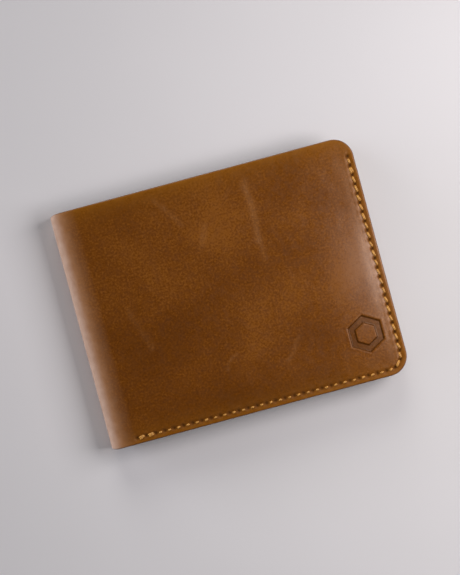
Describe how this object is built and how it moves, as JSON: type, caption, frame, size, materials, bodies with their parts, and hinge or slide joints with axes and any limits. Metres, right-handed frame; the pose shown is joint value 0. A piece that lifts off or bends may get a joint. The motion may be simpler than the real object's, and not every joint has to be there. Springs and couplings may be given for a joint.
{
  "type": "trifold wallet",
  "caption": "Closed leather folding wallet: stitched covers, full-length bill compartment, stepped card slots and a turning centre leaf with an identity window.",
  "frame": {"origin": "centre of the closed wallet's footprint, on the face of the back cover that it lies on", "axes": "+X from the spine to the free edge, +Y from the bottom seam to the mouth of the bill compartment, +Z from the back cover up to the front cover"},
  "size_m": [0.1146, 0.09, 0.014],
  "materials": {
    "cover_leather": "waxed pull-up, satin",
    "inner_leather": "smooth, satin",
    "lining_cloth": "twill weave, matte",
    "waxed_thread": "waxed, satin",
    "window_film": "clear film"
  },
  "bodies": {
    "back": {"back_cover": "cover_leather", "back_lining": "lining_cloth", "back_bill_panel": "inner_leather", "back_pocket_backing": "inner_leather", "back_card_slot_1": "inner_leather", "back_card_slot_2": "inner_leather", "back_card_slot_3": "inner_leather", "back_edge_thread": "waxed_thread", "back_pocket_thread": "waxed_thread", "back_hinge_strip": "inner_leather", "back_hinge_thread": "waxed_thread"},
    "spine": {"spine_cover": "cover_leather", "spine_lining": "lining_cloth", "spine_bill_panel": "inner_leather"},
    "front": {"front_cover": "cover_leather", "front_lining": "lining_cloth", "front_bill_panel": "inner_leather", "front_pocket_backing": "inner_leather", "front_card_slot_1": "inner_leather", "front_card_slot_2": "inner_leather", "front_card_slot_3": "inner_leather", "front_edge_thread": "waxed_thread", "front_pocket_thread": "waxed_thread"},
    "leaf": {"leaf_window_frame": "inner_leather", "leaf_window_film": "window_film", "leaf_core": "inner_leather", "leaf_card_slot_1": "inner_leather", "leaf_card_slot_2": "inner_leather", "leaf_hinge_strip": "inner_leather", "leaf_thread": "waxed_thread"}
  },
  "joints": [
    {"name": "back_fold", "type": "hinge", "parent": "back", "child": "spine", "pos_m": [-0.05575, 0, 0.0015], "axis": [0, -1, 0], "range_deg": [0, 90]},
    {"name": "front_fold", "type": "hinge", "parent": "spine", "child": "front", "pos_m": [-0.05575, 0, 0.0125], "axis": [0, -1, 0], "range_deg": [0, 90]},
    {"name": "leaf_turn", "type": "hinge", "parent": "back", "child": "leaf", "pos_m": [-0.05348, 0, 0.00543], "axis": [0, -1, 0], "range_deg": [0, 90]}
  ],
  "couplings": [
    {"joint": "leaf_turn", "follows": "back_fold", "ratio": 1}
  ]
}
